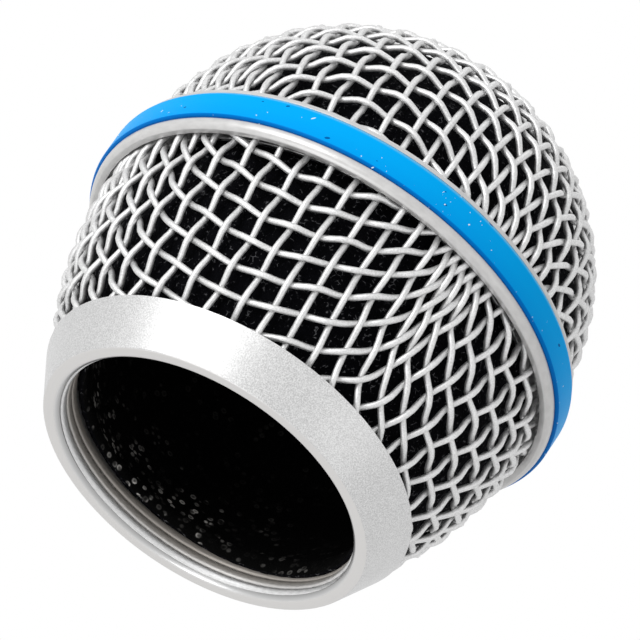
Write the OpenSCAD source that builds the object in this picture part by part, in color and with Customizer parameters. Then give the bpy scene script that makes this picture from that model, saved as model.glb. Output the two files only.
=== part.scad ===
// Ball grille head of a handheld vocal microphone, with its pop filter of foam inside.
// A basket and a dome of woven wire cloth meet in a ring that carries a coloured band,
// and the basket stands in a collar that screws onto the microphone's neck.
// The axis is Z, the collar's flat rim lies on Z = 0 and the dome points up.

/* [Collar] */
// Diameter of the wall that the collar's thread is cut in
bore_d = 31.7; // [26:0.1:36]
// Width of the flat rim round the bore
rim_w = 1.6; // [1:0.1:2]
// Height of the collar
collar_h = 4.7; // [4:0.1:6]
// From the bore's wall to the middle of the cloth, at the collar's top edge
collar_wall = 2.75; // [2.4:0.05:3.5]
// Thickness of the lip outside the cloth, at the collar's top edge
collar_lip = 0.15; // [0.1:0.05:0.6]
// How far the basket's edge reaches down into the collar
collar_grip = 1.2; // [0.8:0.1:1.6]

/* [Wire cloth] */
// Diameter across the middle of the cloth at the ring, where both halves are upright
ball_d = 46.9; // [40:0.1:57]
// Diameter of the wire
wire_d = 0.65; // [0.5:0.01:0.8]
// Flat sides of the wire's section, an odd number so that flats meet where wires cross
wire_sides = 3; // [3, 5, 7]
// Spacing of the basket's wires
basket_pitch = 2.742; // [2.2:0.002:3.3]
// Spacing of the dome's wires
dome_pitch = 2.712; // [2.2:0.002:3.3]
// Turn of the basket's cloth about the axis
basket_turn = -24.55; // [-45:0.05:45]
// Turn of the dome's cloth about the axis
dome_turn = -20.15; // [-45:0.05:45]
// Offset of the basket's middle wires from the axis, both ways, in spacings
basket_offset = [0.37, 0.78]; // [0:0.01:1]
// Turn of the basket's four middle lines, +X, -X, +Y and -Y, about the axis halfway up its side
basket_sway = [0.3, -7.5, -1, 3.3]; // [-10:0.1:10]
// Turn of the same four lines at the ring
basket_drift = [4, 1, -6, 4.6]; // [-10:0.1:10]
// Offset of the dome's middle wires from the axis, both ways, in spacings
dome_offset = [0.47, 0.31]; // [0:0.01:1]
// Turn of the dome's four middle lines, +X, -X, +Y and -Y, about the axis at its widest
dome_drift = [3.8, 0, -2.1, 4.1]; // [-10:0.1:10]
// Depth below the collar's top edge of the floor that was cut out of the drawn basket
cup_floor_drop = 2.1; // [1.7:0.1:3]

/* [Ring and band] */
// Height of the ring's lower edge above the rim
ring_z = 22.3; // [18:0.1:27]
// Height of the ring
ring_h = 4.9; // [4.5:0.1:6]
// Thickness of the ring's wall behind the band
ring_wall = 0.5; // [0.4:0.05:0.8]
// How far the ring's lips stand out from that wall
ring_lip = 0.42; // [0.3:0.02:0.6]
// Height of the rounded lip below the band
lower_lip_h = 1.1; // [0.8:0.1:1.4]
// Height of the band's channel
band_h = 3.2; // [2.4:0.1:3.4]
// Thickness of the band
band_t = 0.65; // [0.5:0.05:1]
// Bevel along the band's edges
band_bevel = 0.3; // [0.1:0.05:0.4]
// How far the cloth's edges reach into the ring
ring_grip = 2; // [1.4:0.1:2.2]
// Thickness of the hoop inside the cloth
hoop_wall = 0.5; // [0.4:0.05:0.8]
// How far the hoop's edges lie inside the ring's
hoop_inset = 0.9; // [0.5:0.1:1.3]

/* [Dome] */
// Height of the dome's centre above the ring's top edge
dome_rise = 1.2; // [0.5:0.1:4]

/* [Foam] */
// Thickness of the foam in the dome
dome_foam_t = 3.5; // [2.5:0.1:5]
// Thickness of the foam in the basket
basket_foam_t = 2; // [1.5:0.1:2.6]

/* [Clearances] */
// Between metal pieces that seat on each other
fit = 0.06; // [0.03:0.01:0.1]
// Between the foam and what holds it
foam_clear = 0.3; // [0.2:0.05:0.4]

/* [Hidden] */
$fn = 96;
ball_r = ball_d / 2;
bore_r = bore_d / 2;

// A wire's corners stand out a little, because its few flat sides lie inside the round wire
wire_r = wire_d / 2;
wire_corner_r = wire_r * 1.2;

// Wires weave this far to either side of the middle of the cloth, and cross clear of each other
crimp = wire_r + fit;
cloth_half = crimp + wire_corner_r;

// Heights of the ring's parts, of the cloth's edges and of the dome's centre
ring_top = ring_z + ring_h;
band_z = ring_z + lower_lip_h;
basket_top = ring_z + ring_grip;
dome_low = ring_top - ring_grip;
dome_z = ring_top + dome_rise;
basket_low = collar_h - collar_grip;
cup_floor = collar_h - cup_floor_drop;

// The basket's side is an arc, upright at the ring
basket_low_r = bore_r + collar_wall;
basket_drop = ball_r - basket_low_r;
basket_arc_r = (basket_drop ^ 2 + (ring_z - collar_h) ^ 2) / (2 * basket_drop);
groove_half = cloth_half + 2 * fit;
collar_top_r = basket_low_r + groove_half / cos(lean_at(collar_h)) + collar_lip;

// Radii of the ring, its band and the hoop, from the cloth outwards and inwards
ring_in_r = ball_r + cloth_half + fit;
seat_r = ring_in_r + ring_wall;
ring_r = seat_r + ring_lip;
hoop_r = ball_r - cloth_half - fit;

// Radius of the basket's cloth at a height
function basket_r(z) =
    ball_r - basket_arc_r + sqrt(basket_arc_r ^ 2 - max(ring_z - z, 0) ^ 2);

// How far the basket's side leans out at a height
function lean_at(z) = asin(max(ring_z - z, 0) / basket_arc_r);

// Point of the basket's section at a height, moved straight out of the cloth
function basket_side(z, out) =
    let (lean = lean_at(z))
    [basket_r(z) + out * cos(lean), z - out * sin(lean)];

// How far a point lies outside the middle of the cloth, on the cup that the basket is cut from
function basket_gap(p) = max(cup_floor - p.z, norm([p.x, p.y]) - basket_r(p.z));

// How far a point lies outside the middle of the dome's cloth
function dome_gap(p) = norm([p.x, p.y, max(p.z - dome_z, 0)]) - ball_r;

function unit(v) = v / norm(v);

// Direction straight out of the cloth at a point
function outward(gap, p, step = 0.01) =
    unit([for (e = [[step, 0, 0], [0, step, 0], [0, 0, step]]) gap(p + e) - gap(p - e)]);

// Point where an arm that swings about m, from below the cloth to above it, meets the cloth
function swing(gap, m, along, out, low = -90, high = 90, tries = 30) =
    let (
        turn = (low + high) / 2,
        p = m + cos(turn) * along + sin(turn) * out
    )
    tries == 0 ? p
    : gap(p) > 0 ? swing(gap, m, along, out, low, turn, tries - 1)
    : swing(gap, m, along, out, turn, high, tries - 1);

// The side of a direction that faces away from the middle of the ball
function facing_out(v, p) = unit(v) * sign(v * (p - [0, 0, (ring_z + ring_top) / 2]));

// Next crossing of the drawn cloth: du from a along one wire, dv from b along the other,
// and across from the crossing c, because wires bend and turn but don't stretch
function crossing(gap, a, b, c, du, dv) =
    let (
        ab = b - a,
        share = (ab * ab + du ^ 2 - dv ^ 2) / (2 * ab * ab),
        m = a + share * ab,
        reach = sqrt(max(du ^ 2 - share ^ 2 * (ab * ab), 0)),
        ahead = m - c - ((m - c) * ab) / (ab * ab) * ab,
        out = facing_out(cross(ab, ahead), m)
    )
    swing(gap, m, reach * unit(ahead), reach * out);

// Points along the cloth from its pole in one direction, at the places of the wires
function spine(gap, pole, dir, places) =
    [for (k = 0, p = pole, ahead = dir, q = pole; k < len(places);
        k = k + 1,
        q = k < len(places)
            ? let (step = places[k] - places[k - 1], side = cross(dir, [0, 0, 1]))
                swing(gap, p, step * unit(ahead), step * facing_out(cross(ahead, side), p))
            : p,
        ahead = q - p,
        p = q) p];

// One row of crossings from the row before it, up to the cloth's edge
function next_row(gap, past, row, first, places, dv) =
    [for (i = 0, p = first; i < len(row);
        i = i + 1,
        p = i == len(row) || is_undef(p) || is_undef(row[i]) || past(p) && past(row[i]) ? undef
            : crossing(gap, p, row[i], row[i - 1], places[i] - places[i - 1], dv)) p];

// A point turned about the axis
function turned(p, angle) =
    [p.x * cos(angle) - p.y * sin(angle), p.x * sin(angle) + p.y * cos(angle), p.z];

// A middle line that strays about the axis, by sway halfway along its side and by drift at the end
function strayed(line, places, start, length, sway, drift) =
    [for (k = [0 : len(line) - 1])
        let (t = max(places[k] - start, 0) / length)
        turned(line[k], t * (4 * sway - drift) + t ^ 2 * (2 * drift - 4 * sway))];

// All crossings of one quarter of the cloth, between two of its middle lines
function quarter(gap, past, x_line, y_line, us, vs) =
    [for (j = 0, row = x_line; j < len(vs);
        j = j + 1,
        row = j < len(vs) ? next_row(gap, past, row, y_line[j], us, vs[j] - vs[j - 1]) : row) row];

// Places of the wires on one side of the pole, the first one being the pole itself
function places(offset, pitch, count) = [0, for (k = [0 : count - 1]) (offset + k) * pitch];

// The four quarters of a cloth, whose wires are numbered from -count to count - 1 both ways.
// Its side starts that far from the pole and is that long, and its middle lines stray there
function cloth(gap, past, pole, pitch, offset, count, start, length, sway, drift) =
    let (
        dirs = [[1, 0, 0], [-1, 0, 0], [0, 1, 0], [0, -1, 0]],
        firsts = [offset[0], 1 - offset[0], offset[1], 1 - offset[1]],
        stops = [for (first = firsts) places(first, pitch, count)],
        lines = [for (k = [0 : 3])
            strayed(spine(gap, pole, dirs[k], stops[k]), stops[k], start, length, sway[k], drift[k])]
    )
    [for (x = [0, 1]) [for (y = [2, 3])
        quarter(gap, past, lines[x], lines[y], stops[x], stops[y])]];

function cloth_point(net, u, v) =
    net[u < 0 ? 1 : 0][v < 0 ? 1 : 0][v < 0 ? -v : v + 1][u < 0 ? -u : u + 1];

// One wire, as points and the side of the cloth that it passes each other wire on
function wire(net, k, count, warp) =
    [for (j = [-count : count - 1])
        let (p = warp ? cloth_point(net, k, j) : cloth_point(net, j, k))
        if (!is_undef(p)) [p, ((k + j) % 2 == 0) == warp ? -1 : 1]];

// Where a wire is cut at a height, between its crossings a and b, of which b stays on the wire.
// Within a wire's thickness of b it keeps to the same side of the cloth
function cut_at(gap, z, a, b) =
    let (
        cut = a + (b - a) * ((z - a[0].z) / (b[0].z - a[0].z)),
        p = cut[0] - gap(cut[0]) * outward(gap, cut[0])
    )
    [p, norm(p - b[0]) > wire_d ? cut[1] : b[1]];

// The stretches of a wire that lie between two heights, cut to length there.
// A crossing within a wire's thickness of a cut gives way to it, and a stretch without any falls out
function strands(gap, line, low, high) =
    let (
        inside = [for (w = line) w[0].z > low && w[0].z < high],
        last = len(line) - 1,
        starts = [for (k = [1 : last]) if (inside[k] && !inside[k - 1]) k],
        ends = [for (k = [0 : last - 1]) if (inside[k] && !inside[k + 1]) k]
    )
    [for (s = [0 : len(starts) - 1])
        let (
            a = starts[s],
            b = ends[s],
            before = line[a - 1],
            after = line[b + 1],
            first = cut_at(gap, before[0].z < low ? low : high, before, line[a]),
            final = cut_at(gap, after[0].z < low ? low : high, after, line[b]),
            between = [for (k = [a : b])
                if (norm(line[k][0] - first[0]) > wire_d && norm(line[k][0] - final[0]) > wire_d)
                    line[k]]
        )
        if (len(between) > 0) [first, each between, final]];

// Rings of a wire's section, one at each crossing and each end. Each ring is turned half a side
// from the last one, which lays a flat on the other wire at every crossing
function wire_rings(gap, strand) =
    let (
        path = [for (w = strand) w[0] + w[1] * crimp * outward(gap, w[0])],
        last = len(path) - 1,
        half_side = 180 / wire_sides,
        first_turn = strand[1][1] > 0 ? -half_side : 0
    )
    [for (k = [0 : last])
        let (
            ahead = unit(path[min(k + 1, last)] - path[max(k - 1, 0)]),
            side = unit(cross(ahead, outward(gap, strand[k][0]))),
            out = cross(side, ahead)
        )
        for (c = [0 : wire_sides - 1])
            let (turn = first_turn + half_side * (k + 2 * c))
            path[k] + wire_corner_r * (cos(turn) * out + sin(turn) * side)];

// Triangles of a wire whose first corner has a given number
function wire_faces(first, rings) =
    let (n = wire_sides, end = first + (rings - 1) * n)
    [for (k = [0 : rings - 2]) for (c = [0 : n - 1])
        let (a = first + k * n + c, b = first + k * n + (c + 1) % n)
        each [[a, a + n, b], [b, a + n, b + n]],
        for (c = [1 : n - 2]) each [[first, first + c, first + c + 1], [end, end + c + 1, end + c]]];

// All wires that run one way through a cloth
module wires(gap, net, count, low, high, warp) {
    runs = [for (k = [-count : count - 1]) each strands(gap, wire(net, k, count, warp), low, high)];
    corners = [for (r = runs) wire_rings(gap, r)];
    firsts = [for (k = 0, sum = 0; k < len(runs); sum = sum + len(corners[k]), k = k + 1) sum];
    polyhedron(
        [for (c = corners) each c],
        [for (k = [0 : len(runs) - 1]) each wire_faces(firsts[k], len(runs[k]))]);
}

basket_shape = function(p) basket_gap(p);
basket_past = function(p) p.z > basket_top;
basket_count = ceil((ball_r + basket_top - cup_floor) / basket_pitch) + 1;
basket_length = basket_arc_r * lean_at(cup_floor) * PI / 180;

dome_shape = function(p) dome_gap(p);
dome_past = function(p) p.z < dome_low;
dome_count = ceil((ball_r * PI / 2 + dome_z - dome_low) / dome_pitch) + 1;
dome_length = ball_r * PI / 2;

module basket_wires(warp) {
    net = cloth(basket_shape, basket_past, [0, 0, cup_floor],
        basket_pitch, basket_offset, basket_count,
        basket_r(cup_floor), basket_length, basket_sway, basket_drift);
    rotate([0, 0, basket_turn])
        wires(basket_shape, net, basket_count, basket_low, basket_top, warp);
}

module dome_wires(warp) {
    net = cloth(dome_shape, dome_past, [0, 0, dome_z + ball_r],
        dome_pitch, dome_offset, dome_count,
        0, dome_length, dome_drift / 2, dome_drift);
    rotate([0, 0, dome_turn])
        wires(dome_shape, net, dome_count, dome_low, dome_z + ball_d, warp);
}

// Tapered collar, grooved at its top for the basket's edge
module threaded_collar() {
    floor_z = basket_low - cloth_half - 2 * fit;
    open_z = collar_h + cloth_half;
    heights = [for (k = [0 : 2]) floor_z + (open_z - floor_z) * k / 2];
    color("silver") rotate_extrude()
        difference() {
            polygon([[bore_r, 0], [bore_r + rim_w, 0],
                [collar_top_r, collar_h], [bore_r, collar_h]]);
            polygon([for (k = [0 : 2]) basket_side(heights[k], groove_half),
                for (k = [2 : -1 : 0]) basket_side(heights[k], -groove_half)]);
        }
}

module basket_warp_wires() { color("gainsboro") basket_wires(true); }
module basket_weft_wires() { color("gainsboro") basket_wires(false); }
module dome_warp_wires() { color("gainsboro") dome_wires(true); }
module dome_weft_wires() { color("gainsboro") dome_wires(false); }

// Section of a lip on the ring's wall, rounded off on the side away from the band
module lip(h) {
    square([ring_lip, h - ring_lip]);
    translate([0, h - ring_lip]) intersection() {
        circle(ring_lip);
        square(ring_lip);
    }
}

// Ring that closes round the edges of both cloths, with a channel for the band
module equator_ring() {
    color("silver") rotate_extrude() {
        translate([ring_in_r, ring_z]) square([ring_wall, ring_h]);
        translate([seat_r, band_z]) mirror([0, 1]) lip(lower_lip_h);
        translate([seat_r, band_z + band_h]) lip(ring_h - lower_lip_h - band_h);
    }
}

// Plain hoop inside the cloth, which the ring's crimp bears against
module inner_hoop() {
    color("gray") rotate_extrude()
        translate([hoop_r - hoop_wall, ring_z + hoop_inset])
            square([hoop_wall, ring_h - 2 * hoop_inset]);
}

// Band in the ring's channel, a little proud of the lips
module colour_band() {
    low = band_z + fit;
    high = band_z + band_h - fit;
    in_r = seat_r + fit;
    out_r = in_r + band_t;
    color("deepskyblue") rotate_extrude()
        polygon([[in_r, low], [out_r - band_bevel, low], [out_r, low + band_bevel],
            [out_r, high - band_bevel], [out_r - band_bevel, high], [in_r, high]]);
}

// Foam sleeve in the basket, from the collar to the dome's foam, inside the hoop
module basket_foam() {
    low = collar_h + foam_clear;
    high = ring_top - hoop_inset;
    hoop_in_r = hoop_r - hoop_wall - foam_clear;
    heights = [for (k = [0 : 10]) low + (high - low) * k / 10];
    inset = cloth_half + foam_clear;
    side = [for (z = heights) min(basket_r(z) - inset / cos(lean_at(z)), hoop_in_r)];
    color("black") rotate_extrude()
        polygon([for (k = [0 : 10]) [side[k], heights[k]],
            for (k = [10 : -1 : 0]) [side[k] - basket_foam_t, heights[k]]]);
}

// Foam bowl in the dome, standing on the hoop and the basket's foam
module dome_foam() {
    low = ring_top - hoop_inset + foam_clear;
    out_r = ball_r - cloth_half - foam_clear;
    color("black") rotate_extrude()
        intersection() {
            difference() {
                union() {
                    translate([0, dome_z]) circle(out_r);
                    square([out_r, dome_z]);
                }
                translate([0, dome_z]) circle(out_r - dome_foam_t);
                square([out_r - dome_foam_t, dome_z]);
            }
            translate([0, low]) square([ball_r, ball_d]);
        }
}

threaded_collar();
basket_warp_wires();
basket_weft_wires();
equator_ring();
inner_hoop();
colour_band();
dome_warp_wires();
dome_weft_wires();
basket_foam();
dome_foam();
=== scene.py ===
import bpy
import bmesh
from math import asin, atan2, cos, exp, hypot, pi, radians, sin, sqrt
from mathutils import Matrix, Vector, noise


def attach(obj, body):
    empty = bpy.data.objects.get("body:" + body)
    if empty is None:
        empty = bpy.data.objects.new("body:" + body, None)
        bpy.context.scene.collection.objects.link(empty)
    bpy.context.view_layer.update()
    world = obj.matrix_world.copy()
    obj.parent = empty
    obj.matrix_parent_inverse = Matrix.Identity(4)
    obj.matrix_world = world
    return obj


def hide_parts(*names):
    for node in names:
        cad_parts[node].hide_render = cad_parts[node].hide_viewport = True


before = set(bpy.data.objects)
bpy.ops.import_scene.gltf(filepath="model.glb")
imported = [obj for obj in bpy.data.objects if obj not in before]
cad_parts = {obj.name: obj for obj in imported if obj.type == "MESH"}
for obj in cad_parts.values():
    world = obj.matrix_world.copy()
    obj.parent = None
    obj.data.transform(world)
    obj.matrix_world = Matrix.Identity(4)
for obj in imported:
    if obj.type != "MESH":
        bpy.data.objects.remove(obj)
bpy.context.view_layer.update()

# Threaded collar: a short turned metal cone with a flat rim, sprayed in silver paint with a fine sparkle.
# A groove in its top takes the edge of the wire basket, and a chamfer leads into its bore.
# The paint is rubbed thin on the rim and on the chamfer, and the chamfer also carries painted shade, its
# colour darker towards the bore.
mm = 0.001
bore_r, rim_r, collar_top_r, collar_h = 15.85, 17.45, 19.79, 4.7
chamfer_r, chamfer_slope, valley_r = 16.28, 0.97, bore_r + 0.02
groove_floor, groove_floor_in_r, groove_floor_out_r = 2.78, 17.02, 18.6
groove_top_in_r, groove_top_out_r = 17.56, 19.66


class Finish:
    """The node material of one finish, with the patterns that it is made from."""

    def __init__(self, name, **constants):
        self.material = bpy.data.materials.new(name)
        self.material.use_nodes = True
        self.tree = self.material.node_tree
        self.shader = self.tree.nodes["Principled BSDF"]
        for socket, value in constants.items():
            self.shader.inputs[socket.replace("_", " ")].default_value = value
        self.place = self.node("TexCoord").outputs["Object"]

    def node(self, kind, **settings):
        node = self.tree.nodes.new("ShaderNode" + kind)
        for key, value in settings.items():
            setattr(node, key, value)
        return node

    def put(self, value, socket):
        if isinstance(value, bpy.types.NodeSocket):
            self.tree.links.new(value, socket)
        else:
            socket.default_value = value

    def feed(self, socket, value):
        self.put(value, self.shader.inputs[socket])

    def grain(self, size, detail=2.0, stretch=(1, 1, 1)):
        spread = self.node("Mapping")
        spread.inputs["Scale"].default_value = stretch
        self.put(self.place, spread.inputs["Vector"])
        texture = self.node("TexNoise")
        self.put(spread.outputs["Vector"], texture.inputs["Vector"])
        texture.inputs["Scale"].default_value = 1 / (size * mm)
        texture.inputs["Detail"].default_value = detail
        return texture.outputs["Fac"]

    def along(self, direction):
        # how far a point lies in one direction, in millimetres
        reach = self.node("VectorMath", operation="DOT_PRODUCT")
        self.put(self.place, reach.inputs[0])
        reach.inputs[1].default_value = direction
        return self.sums("MULTIPLY", reach.outputs["Value"], 1 / mm)

    def height(self):
        return self.along((0, 0, 1))

    def radius(self):
        flat = self.node("Mapping")
        flat.inputs["Scale"].default_value = (1, 1, 0)
        self.put(self.place, flat.inputs["Vector"])
        length = self.node("VectorMath", operation="LENGTH")
        self.put(flat.outputs["Vector"], length.inputs[0])
        return self.sums("MULTIPLY", length.outputs["Value"], 1 / mm)

    def sums(self, operation, a, b, c=0.0):
        node = self.node("Math", operation=operation)
        for value, socket in zip((a, b, c), node.inputs):
            self.put(value, socket)
        return node.outputs["Value"]

    def shades(self, value, *stops):
        # a run of greys or colours, each with the value that it stands at
        ramp = self.node("ValToRGB")
        self.put(value, ramp.inputs["Fac"])
        elements = ramp.color_ramp.elements
        while len(elements) < len(stops):
            elements.new(0.5)
        for element, (place, colour) in zip(elements, stops):
            element.position = place
            element.color = (*colour, 1) if isinstance(colour, tuple) else (colour, colour, colour, 1)
        return ramp.outputs["Color"]

    def mix(self, share, a, b, how="MIX"):
        # the sockets for colours share their names with others, so they are taken by number
        node = self.node("Mix", data_type="RGBA", blend_type=how)
        for value, socket in zip((share, a, b), (node.inputs[0], node.inputs[6], node.inputs[7])):
            self.put(value, socket)
        return node.outputs[2]

    def relief(self, height, depth):
        bump = self.node("Bump")
        bump.inputs["Distance"].default_value = depth * mm
        self.put(height, bump.inputs["Height"])
        self.feed("Normal", bump.outputs["Normal"])


def add_piece(name, data, finish, slot, *nodes):
    data.materials.append(finish.material)
    piece = bpy.data.objects.new(name, data)
    bpy.context.scene.collection.objects.link(piece)
    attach(piece, "root")
    if nodes:
        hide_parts(*nodes)
    return piece


def add_mesh(name, bm, finish, slot, *nodes):
    bmesh.ops.remove_doubles(bm, verts=bm.verts, dist=1e-7)
    bmesh.ops.recalc_face_normals(bm, faces=bm.faces)
    mesh = bpy.data.meshes.new(name)
    bm.to_mesh(mesh)
    bm.free()
    mesh.shade_smooth()
    return add_piece(name, mesh, finish, slot, *nodes)


def turned(corners, steps=192):
    # a closed section, each corner as radius, height and how far it is rounded, spun about the axis
    bm = bmesh.new()
    verts = [bm.verts.new((r * mm, 0, z * mm)) for r, z, soft in corners]
    for a, b in zip(verts, verts[1:] + verts[:1]):
        bm.edges.new((a, b))
    for vert, (r, z, soft) in zip(verts, corners):
        if soft:
            bmesh.ops.bevel(bm, geom=[vert], offset=soft * mm, offset_type="OFFSET", segments=4,
                            profile=0.5, affect="VERTICES", material=-1)
    bmesh.ops.spin(bm, geom=bm.verts[:] + bm.edges[:], cent=(0, 0, 0), axis=(0, 0, 1),
                   angle=2 * pi, steps=steps, use_merge=True)
    return bm


def hold_flats(piece):
    # flat faces keep their own shading beside the rounded corners
    piece.modifiers.new("flats", "WEIGHTED_NORMAL").weight = 80


silver = Finish("silver_paint", Metallic=0.8)
flakes = silver.grain(0.12, 3)
from_bore = silver.sums("SUBTRACT", silver.radius(), bore_r)
in_bore = silver.sums("LESS_THAN", from_bore, chamfer_r - bore_r)
faced = silver.sums("MAXIMUM", silver.shades(silver.height(), (0.02, 1.0), (0.06, 0.0)), in_bore)
paint = silver.mix(0.5, silver.shades(flakes, (0.36, 0.38), (0.64, 0.84)),
                   silver.shades(silver.grain(7), (0.3, 0.57), (0.7, 0.63)))
# the rim's rubbed paint, and painted shade that darkens the chamfer's colour towards the bore
rubbed_paint_and_bore_shade = silver.shades(from_bore, (0.03, 0.36), (0.36, 0.58), (0.45, (0.66, 0.65, 0.64)))
silver.feed("Base Color", silver.mix(faced, paint, rubbed_paint_and_bore_shade))
sparkle = silver.shades(flakes, (0.3, 0.36), (0.7, 0.5))
silver.feed("Roughness", silver.mix(in_bore, sparkle, (0.3, 0.3, 0.3, 1)))
silver.relief(silver.mix(faced, flakes, (0.5, 0.5, 0.5, 1)), 0.012)

collar = add_mesh("collar", turned([
    (chamfer_r, 0, 0.2), (rim_r, 0, 0.14), (collar_top_r, collar_h, 0.06),
    (groove_top_out_r, collar_h, 0.04), (groove_floor_out_r, groove_floor, 0.1),
    (groove_floor_in_r, groove_floor, 0.1), (groove_top_in_r, collar_h, 0.1), (valley_r, collar_h, 0.1),
    (valley_r, (chamfer_r - valley_r) / chamfer_slope, 0.03)]),
    silver, "collar_paint", "threaded_collar")
hold_flats(collar)

# Collar thread: the ridge that is left where a tool has cut the thread in the bore.
# The paint has worn off it, so bare warm grey metal shows, and its colour is painted darker further in as
# painted shade.
# The ridge runs out into the wall at both ends, and the chamfer cuts its first turn.
pitch, ridge_turns, ridge_z, ridge_h = 0.96, 3.1, 0.56, 0.27
steps_per_turn = 160
runout_turns, runout_sunk, chamfer_clear = 0.09, 0.04, 0.03

bare = Finish("bare_thread", Metallic=0.45)
turning = bare.grain(0.5, 3, (1, 1, 6))
# the metal's warm tint, with painted shade that darkens the ridge further into the bore
warm_tint_and_bore_shade = bare.shades(bare.sums("MULTIPLY", bare.height(), 0.3),
                     (0.3, 1.0), (0.52, (0.66, 0.62, 0.575)), (0.85, (0.4, 0.365, 0.33)))
bright = bare.shades(turning, (0.3, 0.66), (0.7, 0.84))
bare.feed("Base Color", bare.mix(1.0, bright, warm_tint_and_bore_shade, "MULTIPLY"))
bare.feed("Roughness", bare.shades(turning, (0.3, 0.4), (0.7, 0.55)))
bare.relief(turning, 0.02)

bm = bmesh.new()
flank = [(-0.05, 0.45), (0.12, 0.42), (0.23, 0.33), (ridge_h, 0.15)]
section = [(depth, -rise) for depth, rise in flank] + flank[::-1]
ridge = bm.faces.new([bm.verts.new(((valley_r - depth) * mm, 0, (ridge_z + rise) * mm))
                      for depth, rise in section])
bmesh.ops.spin(bm, geom=[ridge], cent=(0, 0, 0), axis=(0, 0, 1), angle=2 * pi * ridge_turns,
               dvec=(0, 0, pitch * mm / steps_per_turn), steps=round(steps_per_turn * ridge_turns))
for vert in bm.verts:
    angle = atan2(vert.co.y, vert.co.x) / (2 * pi)
    turns = angle + round((vert.co.z / mm - ridge_z) / pitch - angle)
    grown = min(1, max(0, min(turns, ridge_turns - turns) / runout_turns))
    r = hypot(vert.co.x, vert.co.y) / mm
    faded = valley_r + runout_sunk + (min(r, valley_r) - valley_r - runout_sunk) * grown
    chamfered = chamfer_r + chamfer_clear - chamfer_slope * vert.co.z / mm
    outwards = max(r, faded, chamfered) / r
    vert.co.x *= outwards
    vert.co.y *= outwards
add_mesh("collar_thread", bm, bare, "collar_paint")

# Basket wires: plain-woven plated steel wire cloth, drawn into a cup and cut off above its floor.
# Drawn cloth bends and shears but doesn't stretch, so crossings keep their spacing along every wire.
# Its lower edge sits in the collar's groove, where the cloth in front is pulled round and down a little.
ball_r, ring_z, ring_top, wire_r = 23.45, 22.3, 27.2, 0.325
cup_floor, collar_cloth_r = 2.6, 18.6
collar_grip, ring_grip, weave_gap = 1.2, 2, 0.02
draw_in = ball_r - collar_cloth_r
side_arc_r = (draw_in ** 2 + (ring_z - collar_h) ** 2) / (2 * draw_in)
side_length = side_arc_r * asin((ring_z - cup_floor) / side_arc_r)
basket_low, basket_top = collar_h - collar_grip, ring_z + ring_grip
head_middle = Vector((0, 0, (ring_z + ring_top) / 2))


def basket_r(z):
    return ball_r - side_arc_r + sqrt(side_arc_r ** 2 - max(ring_z - z, 0) ** 2)


def basket_gap(p):
    return max(cup_floor - p.z, hypot(p.x, p.y) - basket_r(p.z))


def swing(gap, m, along, out, halvings=30):
    # where an arm about m, swung from inside the cloth to outside it, meets the cloth
    low, high = -pi / 2, pi / 2
    for halving in range(halvings):
        turn = (low + high) / 2
        p = m + cos(turn) * along + sin(turn) * out
        low, high = (low, turn) if gap(p) > 0 else (turn, high)
    return p


def facing_out(v, p):
    return v.normalized() * (1 if v.dot(p - head_middle) > 0 else -1)


def middle_line(gap, pole, heading, places, sway, drift, start, length):
    # from the pole down or up the cloth, strayed about the axis by sway halfway and drift at the end
    ahead = Matrix.Rotation(radians(heading), 3, "Z") @ Vector((1, 0, 0))
    side = ahead.cross(Vector((0, 0, 1)))
    line = [pole]
    for a, b in zip(places, places[1:]):
        p = line[-1]
        ahead = (b - a) * ahead.normalized()
        line.append(swing(gap, p, ahead, (b - a) * facing_out(ahead.cross(side), p)))
        ahead = line[-1] - p
    strayed = []
    for place, p in zip(places, line):
        t = max(place - start, 0) / length
        stray = t * (4 * sway - drift) + t * t * (2 * drift - 4 * sway)
        strayed.append(Matrix.Rotation(radians(stray), 3, "Z") @ p)
    return strayed


def crossing(gap, a, b, c, du, dv):
    # the fourth corner of an opening in the cloth, across from c, at du from a and dv from b
    ab = b - a
    share = (ab.dot(ab) + du ** 2 - dv ** 2) / (2 * ab.dot(ab))
    m = a + share * ab
    reach = sqrt(max(du ** 2 - share ** 2 * ab.dot(ab), 0))
    ahead = m - c - (m - c).dot(ab) / ab.dot(ab) * ab
    return swing(gap, m, reach * ahead.normalized(), reach * facing_out(ab.cross(ahead), m))


def wire_cloth(gap, past, pole, spacing, offset, sway, drift, start, length, count):
    # crossings of the cloth, numbered along both ways from the pole
    net = {}
    lines = []
    headings = (0, offset[0]), (180, 1 - offset[0]), (90, offset[1]), (-90, 1 - offset[1])
    for k, (heading, first) in enumerate(headings):
        places = [0] + [(first + n) * spacing for n in range(count)]
        lines.append((places, middle_line(gap, pole, heading, places, sway[k], drift[k], start, length)))
    for u_ahead, (us, row) in zip((True, False), lines[:2]):
        for v_ahead, (vs, column) in zip((True, False), lines[2:]):
            last = row
            for j in range(1, count + 1):
                line = [column[j]]
                for i in range(1, count + 1):
                    a, b = line[-1], last[i]
                    over = a is None or b is None or (past(a) and past(b))
                    line.append(None if over else crossing(
                        gap, a, b, last[i - 1], us[i] - us[i - 1], vs[j] - vs[j - 1]))
                    net[i - 1 if u_ahead else -i, j - 1 if v_ahead else -j] = line[-1]
                last = line
    return net


def strands(net, count, warp, low, high):
    # each wire as its points and the side of the cloth it passes the others on, cut at two heights
    found = []
    for k in range(-count, count):
        line = [(net[(k, j) if warp else (j, k)], -1 if ((k + j) % 2 == 0) == warp else 1)
                for j in range(-count, count)]
        line = [(p, side) for p, side in line if p is not None]
        strand = []
        for (p, a), (q, b) in zip(line, line[1:]):
            rise = q.z - p.z
            cuts = sorted(t for t in ((z - p.z) / rise for z in (low, high) if rise) if 0 < t < 1)
            if low < p.z < high:
                strand.append((p, a))
            for t in cuts:
                strand.append((p.lerp(q, t), a + (b - a) * t))
                if len(strand) > 1 and not (low < q.z < high and t == cuts[-1]):
                    found.append(strand)
                    strand = []
    return found


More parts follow.
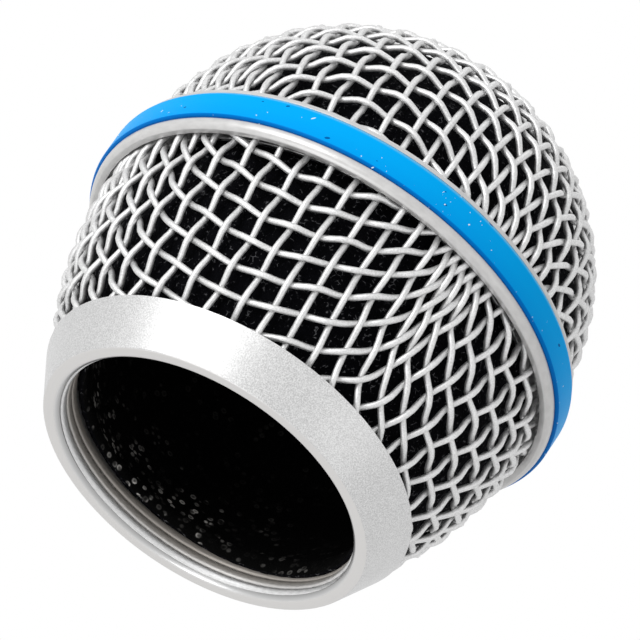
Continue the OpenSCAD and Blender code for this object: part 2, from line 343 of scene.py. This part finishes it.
def outward(gap, p, step=0.01):
    return Vector([gap(p + e) - gap(p - e) for e in step * Matrix.Identity(3)]).normalized()


def add_wires(name, gap, runs, turn, finish, node):
    curve = bpy.data.curves.new(name, "CURVE")
    curve.dimensions = "3D"
    curve.bevel_depth = wire_r * mm
    curve.bevel_resolution = 2
    curve.resolution_u = 4
    curve.use_fill_caps = True
    around = Matrix.Rotation(radians(turn), 3, "Z")
    for run in runs:
        spline = curve.splines.new("BEZIER")
        spline.bezier_points.add(len(run) - 1)
        for point, (p, side) in zip(spline.bezier_points, run):
            point.co = around @ (p + side * (wire_r + weave_gap / 2) * outward(gap, p)) * mm
            point.handle_left_type = point.handle_right_type = "AUTO"
    return add_piece(name, curve, finish, "wire", node)


plated = Finish("plated_wire", Metallic=0.75)
sand = plated.grain(0.16, 3)
plated.feed("Base Color", plated.mix(0.45, plated.shades(sand, (0.34, 0.52), (0.66, 0.86)),
                                     plated.shades(plated.grain(5), (0.3, 0.66), (0.7, 0.74))))
plated.feed("Roughness", plated.shades(sand, (0.3, 0.4), (0.7, 0.55)))
plated.relief(sand, 0.02)

basket_turn, basket_count = -24.55, 18
basket = wire_cloth(basket_gap, lambda p: p.z > basket_top, Vector((0, 0, cup_floor)), spacing=2.742,
                    offset=(0.37, 0.78), sway=(0.3, -7.5, -1, 3.3), drift=(4, 1, -6, 4.6),
                    start=basket_r(cup_floor), length=side_length, count=basket_count)

pull_turn, pull_heading, pull_spread = 2.2, -45, 25
pull_down, pull_top, pull_fade, above_floor = 0.3, 13, 6, 0.1
for number, p in basket.items():
    if p is not None and p.z > cup_floor + above_floor:
        aside = (atan2(p.y, p.x) - radians(pull_heading)) / radians(pull_spread)
        pulled = exp(-aside ** 2) * min(1, max(0, (pull_top - p.z) / pull_fade))
        moved = Matrix.Rotation(radians(pull_turn) * pulled, 3, "Z") @ p
        moved.z -= pull_down * pulled
        moved.xy *= basket_r(moved.z) / moved.xy.length
        basket[number] = moved
for way in ("warp", "weft"):
    runs = strands(basket, basket_count, way == "warp", basket_low, basket_top)
    add_wires(f"basket_{way}", basket_gap, runs, basket_turn, plated, f"basket_{way}_wires")

# Inner hoop: a plain strip of bright steel, rolled into a hoop.
# It stands inside the edges of both cloths, and the ring outside them is closed against it.
hoop_out_r, hoop_wall, hoop_inset, hoop_edge = 22.615, 0.5, 0.9, 0.12
hoop_in_r = hoop_out_r - hoop_wall
hoop_low, hoop_top = ring_z + hoop_inset, ring_top - hoop_inset

steel = Finish("rolled_steel", Metallic=1.0)
rolling = steel.grain(0.6, 3, (1, 1, 8))
steel.feed("Base Color", steel.shades(rolling, (0.3, 0.42), (0.7, 0.6)))
steel.feed("Roughness", steel.shades(rolling, (0.3, 0.25), (0.7, 0.42)))
steel.relief(rolling, 0.02)

hoop = add_mesh("hoop", turned([
    (hoop_in_r, hoop_low, hoop_edge), (hoop_out_r, hoop_low, hoop_edge),
    (hoop_out_r, hoop_top, hoop_edge), (hoop_in_r, hoop_top, hoop_edge)]),
    steel, "hoop_steel", "inner_hoop")
hold_flats(hoop)

# Dome wires: the same cloth drawn over a ball, which makes the upper half of the grille.
# Its edge goes down into the ring, outside the hoop, like the basket's edge below it.
dome_rise = 1.2
dome_z, dome_low = ring_top + dome_rise, ring_top - ring_grip


def dome_gap(p):
    return Vector((p.x, p.y, max(p.z - dome_z, 0))).length - ball_r


dome_turn, dome_count, dome_drift = -20.15, 17, (3.8, 0, -2.1, 4.1)
dome = wire_cloth(dome_gap, lambda p: p.z < dome_low, Vector((0, 0, dome_z + ball_r)), spacing=2.712,
                  offset=(0.47, 0.31), sway=[drift / 2 for drift in dome_drift], drift=dome_drift,
                  start=0, length=ball_r * pi / 2, count=dome_count)
for way in ("warp", "weft"):
    runs = strands(dome, dome_count, way == "warp", dome_low, dome_z + 2 * ball_r)
    add_wires(f"dome_{way}", dome_gap, runs, dome_turn, plated, f"dome_{way}_wires")

# Equator ring: a silver-painted ring with a rounded lip along each edge and a channel between them.
# It is rolled shut over the edges of both cloths and holds them on the hoop.
lip_low, lip_r, top_lip_r = ring_z - 0.2, 25.3, 25.25
channel_r, channel_low, channel_top = 24.785, 23.14, 26.6
crimp_low_r, crimp_top_r, ring_in_r = 24.1, 24.17, 24.29

satin = Finish("satin_silver", Metallic=0.3)
cloud = satin.grain(1.2, 4, (1, 1, 3))
satin.feed("Base Color", satin.shades(cloud, (0.3, (0.575, 0.57, 0.565)), (0.7, (0.655, 0.65, 0.645))))
satin.feed("Roughness", satin.shades(cloud, (0.3, 0.3), (0.7, 0.42)))
satin.relief(satin.grain(0.25, 3), 0.008)

ring = add_mesh("ring", turned([
    (crimp_low_r, lip_low + 0.12, 0.08), (24.75, lip_low, 0.07), (25.12, lip_low + 0.22, 0.2),
    (lip_r, lip_low + 0.65, 0.24), (lip_r, channel_low, 0.06), (channel_r, channel_low, 0.04),
    (channel_r, channel_top, 0.04), (top_lip_r, channel_top, 0.06), (top_lip_r, ring_top, 0.3),
    (crimp_top_r, ring_top, 0.08), (ring_in_r, ring_top - 0.4, 0.1), (ring_in_r, lip_low + 0.6, 0.1)]),
    satin, "ring_paint", "equator_ring")
hold_flats(ring)

# Colour band: a flat azure plastic hoop with bevelled edges, snapped into the ring's channel.
# Handling has left small white flecks and a few dark nicks in it.
band_low, band_top, band_r, band_in_r = 23.18, 26.54, 25.64, 24.845
foot_r, foot_h, crest_r, crest_z = 25.46, 0.16, 25.3, 26.1
band_h = band_top - band_low


def cells(finish, size, feature="F1", stretch=(1, 1, 1), tilt=(0, 0, 0)):
    # a pattern of cells, with the distance to the middle or edge of a point's cell and the cell's own tint
    spread = finish.node("Mapping", vector_type="TEXTURE")
    spread.inputs["Scale"].default_value = stretch
    spread.inputs["Rotation"].default_value = tilt
    finish.put(finish.place, spread.inputs["Vector"])
    texture = finish.node("TexVoronoi", feature=feature)
    finish.put(spread.outputs["Vector"], texture.inputs["Vector"])
    texture.inputs["Scale"].default_value = 1 / (size * mm)
    return texture.outputs


azure = Finish("azure_band", Roughness=0.4, Specular_IOR_Level=0.03)
up_band = azure.sums("MULTIPLY_ADD", azure.height(), 1 / band_h, -band_low / band_h)
# painted shade darkens the lower bevel, and a painted highlight lightens the top bevel
tone_with_painted_light = azure.shades(up_band, (0.02, (0.0, 0.14, 0.50)), (0.05, (0.0, 0.19, 0.64)),
                    (0.075, (0.0, 0.37, 0.91)), (0.5, (0.0, 0.41, 0.95)),
                    (0.84, (0.0, 0.42, 0.96)), (0.9, (0.10, 0.56, 0.98)))
uneven = azure.shades(azure.grain(9), (0.3, 0.0), (0.7, 0.1))
tone_with_painted_light = azure.mix(uneven, tone_with_painted_light, (0.0, 0.32, 0.84, 1))
fleck = 0.0
for tilt in ((0.5, 0.7, 0), (-0.8, 0.4, 0.6)):
    shards = cells(azure, 0.9, stretch=(0.4, 0.4, 1.9), tilt=tilt)
    size = azure.sums("MULTIPLY_ADD", shards["Color"], 0.7, -0.46)
    shard = azure.sums("LESS_THAN", shards["Distance"], size)
    fleck = azure.sums("MAXIMUM", fleck, shard)
worn = azure.shades(azure.grain(6), (0.46, 0.0), (0.54, 1.0))
fleck = azure.sums("MULTIPLY", fleck, worn)
nicks = cells(azure, 1.9, stretch=(1.4, 1.4, 0.7), tilt=(0, -0.4, 0))
nick = azure.sums("LESS_THAN", nicks["Distance"], azure.sums("MULTIPLY", nicks["Color"], 0.13))
nicked = azure.mix(nick, tone_with_painted_light, (0.0, 0.12, 0.42, 1))
azure.feed("Base Color", azure.mix(fleck, nicked, (0.8, 0.9, 0.95, 1)))
azure.relief(azure.grain(0.5, 3), 0.01)

band = add_mesh("band", turned([
    (band_in_r, band_low, 0.03), (foot_r, band_low, 0.05), (band_r, band_low + foot_h, 0.08),
    (band_r, crest_z, 0.12), (crest_r, band_top, 0.1), (band_in_r, band_top, 0.03)]),
    azure, "band_blue", "colour_band")
hold_flats(band)

# Basket foam: a sleeve of black open-cell foam, cut from sheet and pressed in behind the basket's wires.
# It is the pop filter's lower half, and its hem hangs a little crooked in the collar.
# Cut cells show outside as short grey fibres. Inside, torn cells carry small bright rings in the colour as
# painted highlights, only on one side and fading away from the collar, where light comes in through the
# bore.
sleeve_low, sleeve_steps, sleeve_t = collar_h + 0.3, 44, 1.85
wire_clear, sleeve_top_r = 1.1, 21.75
hem_low, hem_top, hem_fade, crooked = 3.05, 4.9, 1.5, 0.75
hem_r, hem_in_r = 15.78, 15.2
lump_size, lump_depth, lump_sunk = 0.9, 0.1, 0.4

foam = Finish("black_foam", Roughness=0.9, Specular_IOR_Level=0.05)
struts = cells(foam, 0.55, "DISTANCE_TO_EDGE")
fibre = foam.sums("MULTIPLY", foam.shades(struts["Distance"], (0.02, 1.0), (0.06, 0.0)),
                  foam.shades(foam.grain(0.5), (0.56, 0.0), (0.66, 1.0)))
foam.feed("Base Color", foam.mix(fibre, (0.002, 0.002, 0.003, 1), (0.16, 0.16, 0.17, 1)))
foam.relief(foam.grain(0.2, 3), 0.2)

torn = Finish("torn_foam", Roughness=0.9, Specular_IOR_Level=0.05)
bubbles = cells(torn, 0.8)
bubble = torn.shades(bubbles["Distance"],
                     (0.08, 0.3), (0.18, 0.4), (0.26, 1.0), (0.34, 1.0), (0.44, 0.0))
opened = torn.shades(bubbles["Color"], (0.36, 0.0), (0.6, 1.0))
patch = torn.shades(torn.grain(2.6), (0.48, 0.06), (0.6, 1.0))
# painted highlights: the bright rings are kept to the lit side and fade away from the collar
lit_side = torn.shades(torn.sums("MULTIPLY", torn.along((-0.31, 0.95, 0)), 0.06), (0.7, 0.1), (0.9, 1.0))
lit_near_collar = torn.shades(torn.sums("MULTIPLY", torn.height(), 0.05),
                          (0.3, 1.0), (0.38, 0.6), (0.48, 0.18), (0.65, 0.03))
glint = torn.sums("MULTIPLY", bubble, opened)
for share in (patch, lit_side, lit_near_collar):
    glint = torn.sums("MULTIPLY", glint, share)
torn.feed("Base Color", torn.mix(glint, (0.002, 0.002, 0.002, 1), (0.95, 0.92, 0.88, 1)))
torn.relief(torn.grain(0.2, 3), 0.2)


def add_foam(name, section, node):
    bm = turned([(r, z, 0) for r, z in section], steps=240)
    bmesh.ops.remove_doubles(bm, verts=bm.verts, dist=1e-6)
    bmesh.ops.recalc_face_normals(bm, faces=bm.faces)
    bm.normal_update()
    for face in bm.faces:
        from_middle = face.calc_center_median() - Vector((0, 0, dome_z * mm))
        face.material_index = int(face.normal.dot(from_middle) < 0)
    for vert in bm.verts:
        hang = min(1, max(0, (hem_top - vert.co.z / mm) / hem_fade))
        vert.co.z -= hang * crooked * vert.co.x / bore_r
        lump = noise.fractal(vert.co / (lump_size * mm), 1, 2, 3)
        vert.co += vert.normal * lump_depth * mm * (lump - lump_sunk)
    piece = add_mesh(name, bm, foam, "foam_black", node)
    piece.data.materials.append(torn.material)


heights = [sleeve_low + (hoop_top - sleeve_low) * k / sleeve_steps for k in range(sleeve_steps + 1)]
sleeve = [(min(basket_r(z) - wire_clear / cos(asin((ring_z - z) / side_arc_r)), sleeve_top_r), z)
          for z in heights]
lining = [(r - sleeve_t, z) for r, z in reversed(sleeve)]
hem = [(hem_r - 0.02, hem_low)] + [(hem_r, z) for z in (3.7, 4.4, 4.95)]
hem_lining = [(hem_in_r + 0.1, 4.6), (hem_in_r, 4.0), (hem_in_r, hem_low)]
add_foam("basket_pop_foam", hem + sleeve + lining + hem_lining, "basket_foam")

# Dome foam: a bowl of the same foam, moulded to the dome and standing on the hoop and the sleeve.
# It is the pop filter's upper half.
bowl_r, bowl_t, bowl_low, bowl_steps = 22.3, 3.35, 26.65, 60
bowl_in_r = bowl_r - bowl_t
arc = [radians(90 * k / bowl_steps) for k in range(bowl_steps + 1)]
bowl = [(bowl_r * cos(a), dome_z + bowl_r * sin(a)) for a in arc]
hollow = [(bowl_in_r * cos(a), dome_z + bowl_in_r * sin(a)) for a in reversed(arc)]
add_foam("dome_pop_foam", [(bowl_r, bowl_low)] + bowl + hollow + [(bowl_in_r, bowl_low)], "dome_foam")

# Camera: the photograph's view, from below and in front of the head, with a long lens.
# It is turned about its own axis, so that the head leans to the right.
azimuth, elevation, roll = radians(-90.89675), radians(-32.70093), radians(34.56551)
view_middle, view_distance = Vector((0.46615, 1.25365, 23.03618)), 742.305
camera = bpy.data.objects.new("camera", bpy.data.cameras.new("camera"))
bpy.context.scene.collection.objects.link(camera)
camera.data.sensor_width, camera.data.lens = 36, 434.37
camera.data.clip_start, camera.data.clip_end = 0.05, 20
back = Vector((cos(elevation) * cos(azimuth), cos(elevation) * sin(azimuth), sin(elevation)))
camera.matrix_world = (Matrix.Translation((view_middle + view_distance * back) * mm)
                       @ back.to_track_quat("Z", "Y").to_matrix().to_4x4()
                       @ Matrix.Rotation(roll, 4, "Z"))
bpy.context.scene.camera = camera

# Studio: a white surround with a strong soft lamp from the front left, and weak ones from the front right,
# from below and from the top. The surround looks brighter, also in reflections, than the light it gives.
# The floor shows only from its upper side, because the photograph looks up from below it.
light_given, light_seen = 0.53, 1.0
world = bpy.data.worlds.new("surround")
bpy.context.scene.world = world
world.use_nodes = True
nodes, links = world.node_tree.nodes, world.node_tree.links
rays = nodes.new("ShaderNodeLightPath")
seen = rays.outputs["Is Camera Ray"]
for kind in ("Is Glossy Ray", "Is Transmission Ray"):
    either = nodes.new("ShaderNodeMath")
    either.operation = "MAXIMUM"
    links.new(seen, either.inputs[0])
    links.new(rays.outputs[kind], either.inputs[1])
    seen = either.outputs["Value"]
strength = nodes.new("ShaderNodeMapRange")
strength.inputs["To Min"].default_value = light_given
strength.inputs["To Max"].default_value = light_seen
links.new(seen, strength.inputs["Value"])
links.new(strength.outputs["Result"], nodes["Background"].inputs["Strength"])
nodes["Background"].inputs["Color"].default_value = (1, 1, 1, 1)

lamp_middle = Vector((0, 0, 25)) * mm


def add_lamp(name, towards, distance, size, power):
    # distance and size are in metres
    lamp = bpy.data.objects.new(name, bpy.data.lights.new(name, "AREA"))
    bpy.context.scene.collection.objects.link(lamp)
    lamp.data.size, lamp.data.energy = size, power
    aim = Vector(towards).normalized()
    lamp.location = lamp_middle + aim * distance
    lamp.rotation_euler = aim.to_track_quat("Z", "Y").to_euler()


add_lamp("key", (-0.74, -0.64, -0.12), distance=0.8, size=0.45, power=3.5)
add_lamp("fill", (0.75, -0.65, -0.1), distance=0.9, size=0.5, power=0.4)
add_lamp("below", (-0.33, -0.2, -0.92), distance=0.7, size=0.25, power=0.75)
add_lamp("top", (-0.2, -0.3, 1), distance=0.9, size=0.6, power=0.6)

floor_half, floor_z = 3, -0.1 * mm
pale = Finish("pale_floor", Roughness=0.9)
pale.feed("Base Color", pale.shades(pale.grain(60), (0.3, 0.86), (0.7, 0.9)))
path = pale.node("LightPath")
facing = pale.node("NewGeometry")
from_above = pale.sums("SUBTRACT", 1.0, facing.outputs["Backfacing"])
shown = pale.sums("MULTIPLY", path.outputs["Is Camera Ray"], from_above)
through = pale.node("BsdfTransparent")
both = pale.node("MixShader")
pale.put(shown, both.inputs["Fac"])
pale.put(through.outputs["BSDF"], both.inputs[1])
pale.put(pale.shader.outputs["BSDF"], both.inputs[2])
pale.put(both.outputs["Shader"], pale.tree.nodes["Material Output"].inputs["Surface"])
bm = bmesh.new()
bmesh.ops.create_grid(bm, x_segments=8, y_segments=8, size=floor_half,
                      matrix=Matrix.Translation((0, 0, floor_z)))
mesh = bpy.data.meshes.new("floor")
bm.to_mesh(mesh)
bm.free()
mesh.materials.append(pale.material)
floor = bpy.data.objects.new("floor", mesh)
bpy.context.scene.collection.objects.link(floor)

bpy.context.scene.view_settings.view_transform = "Standard"
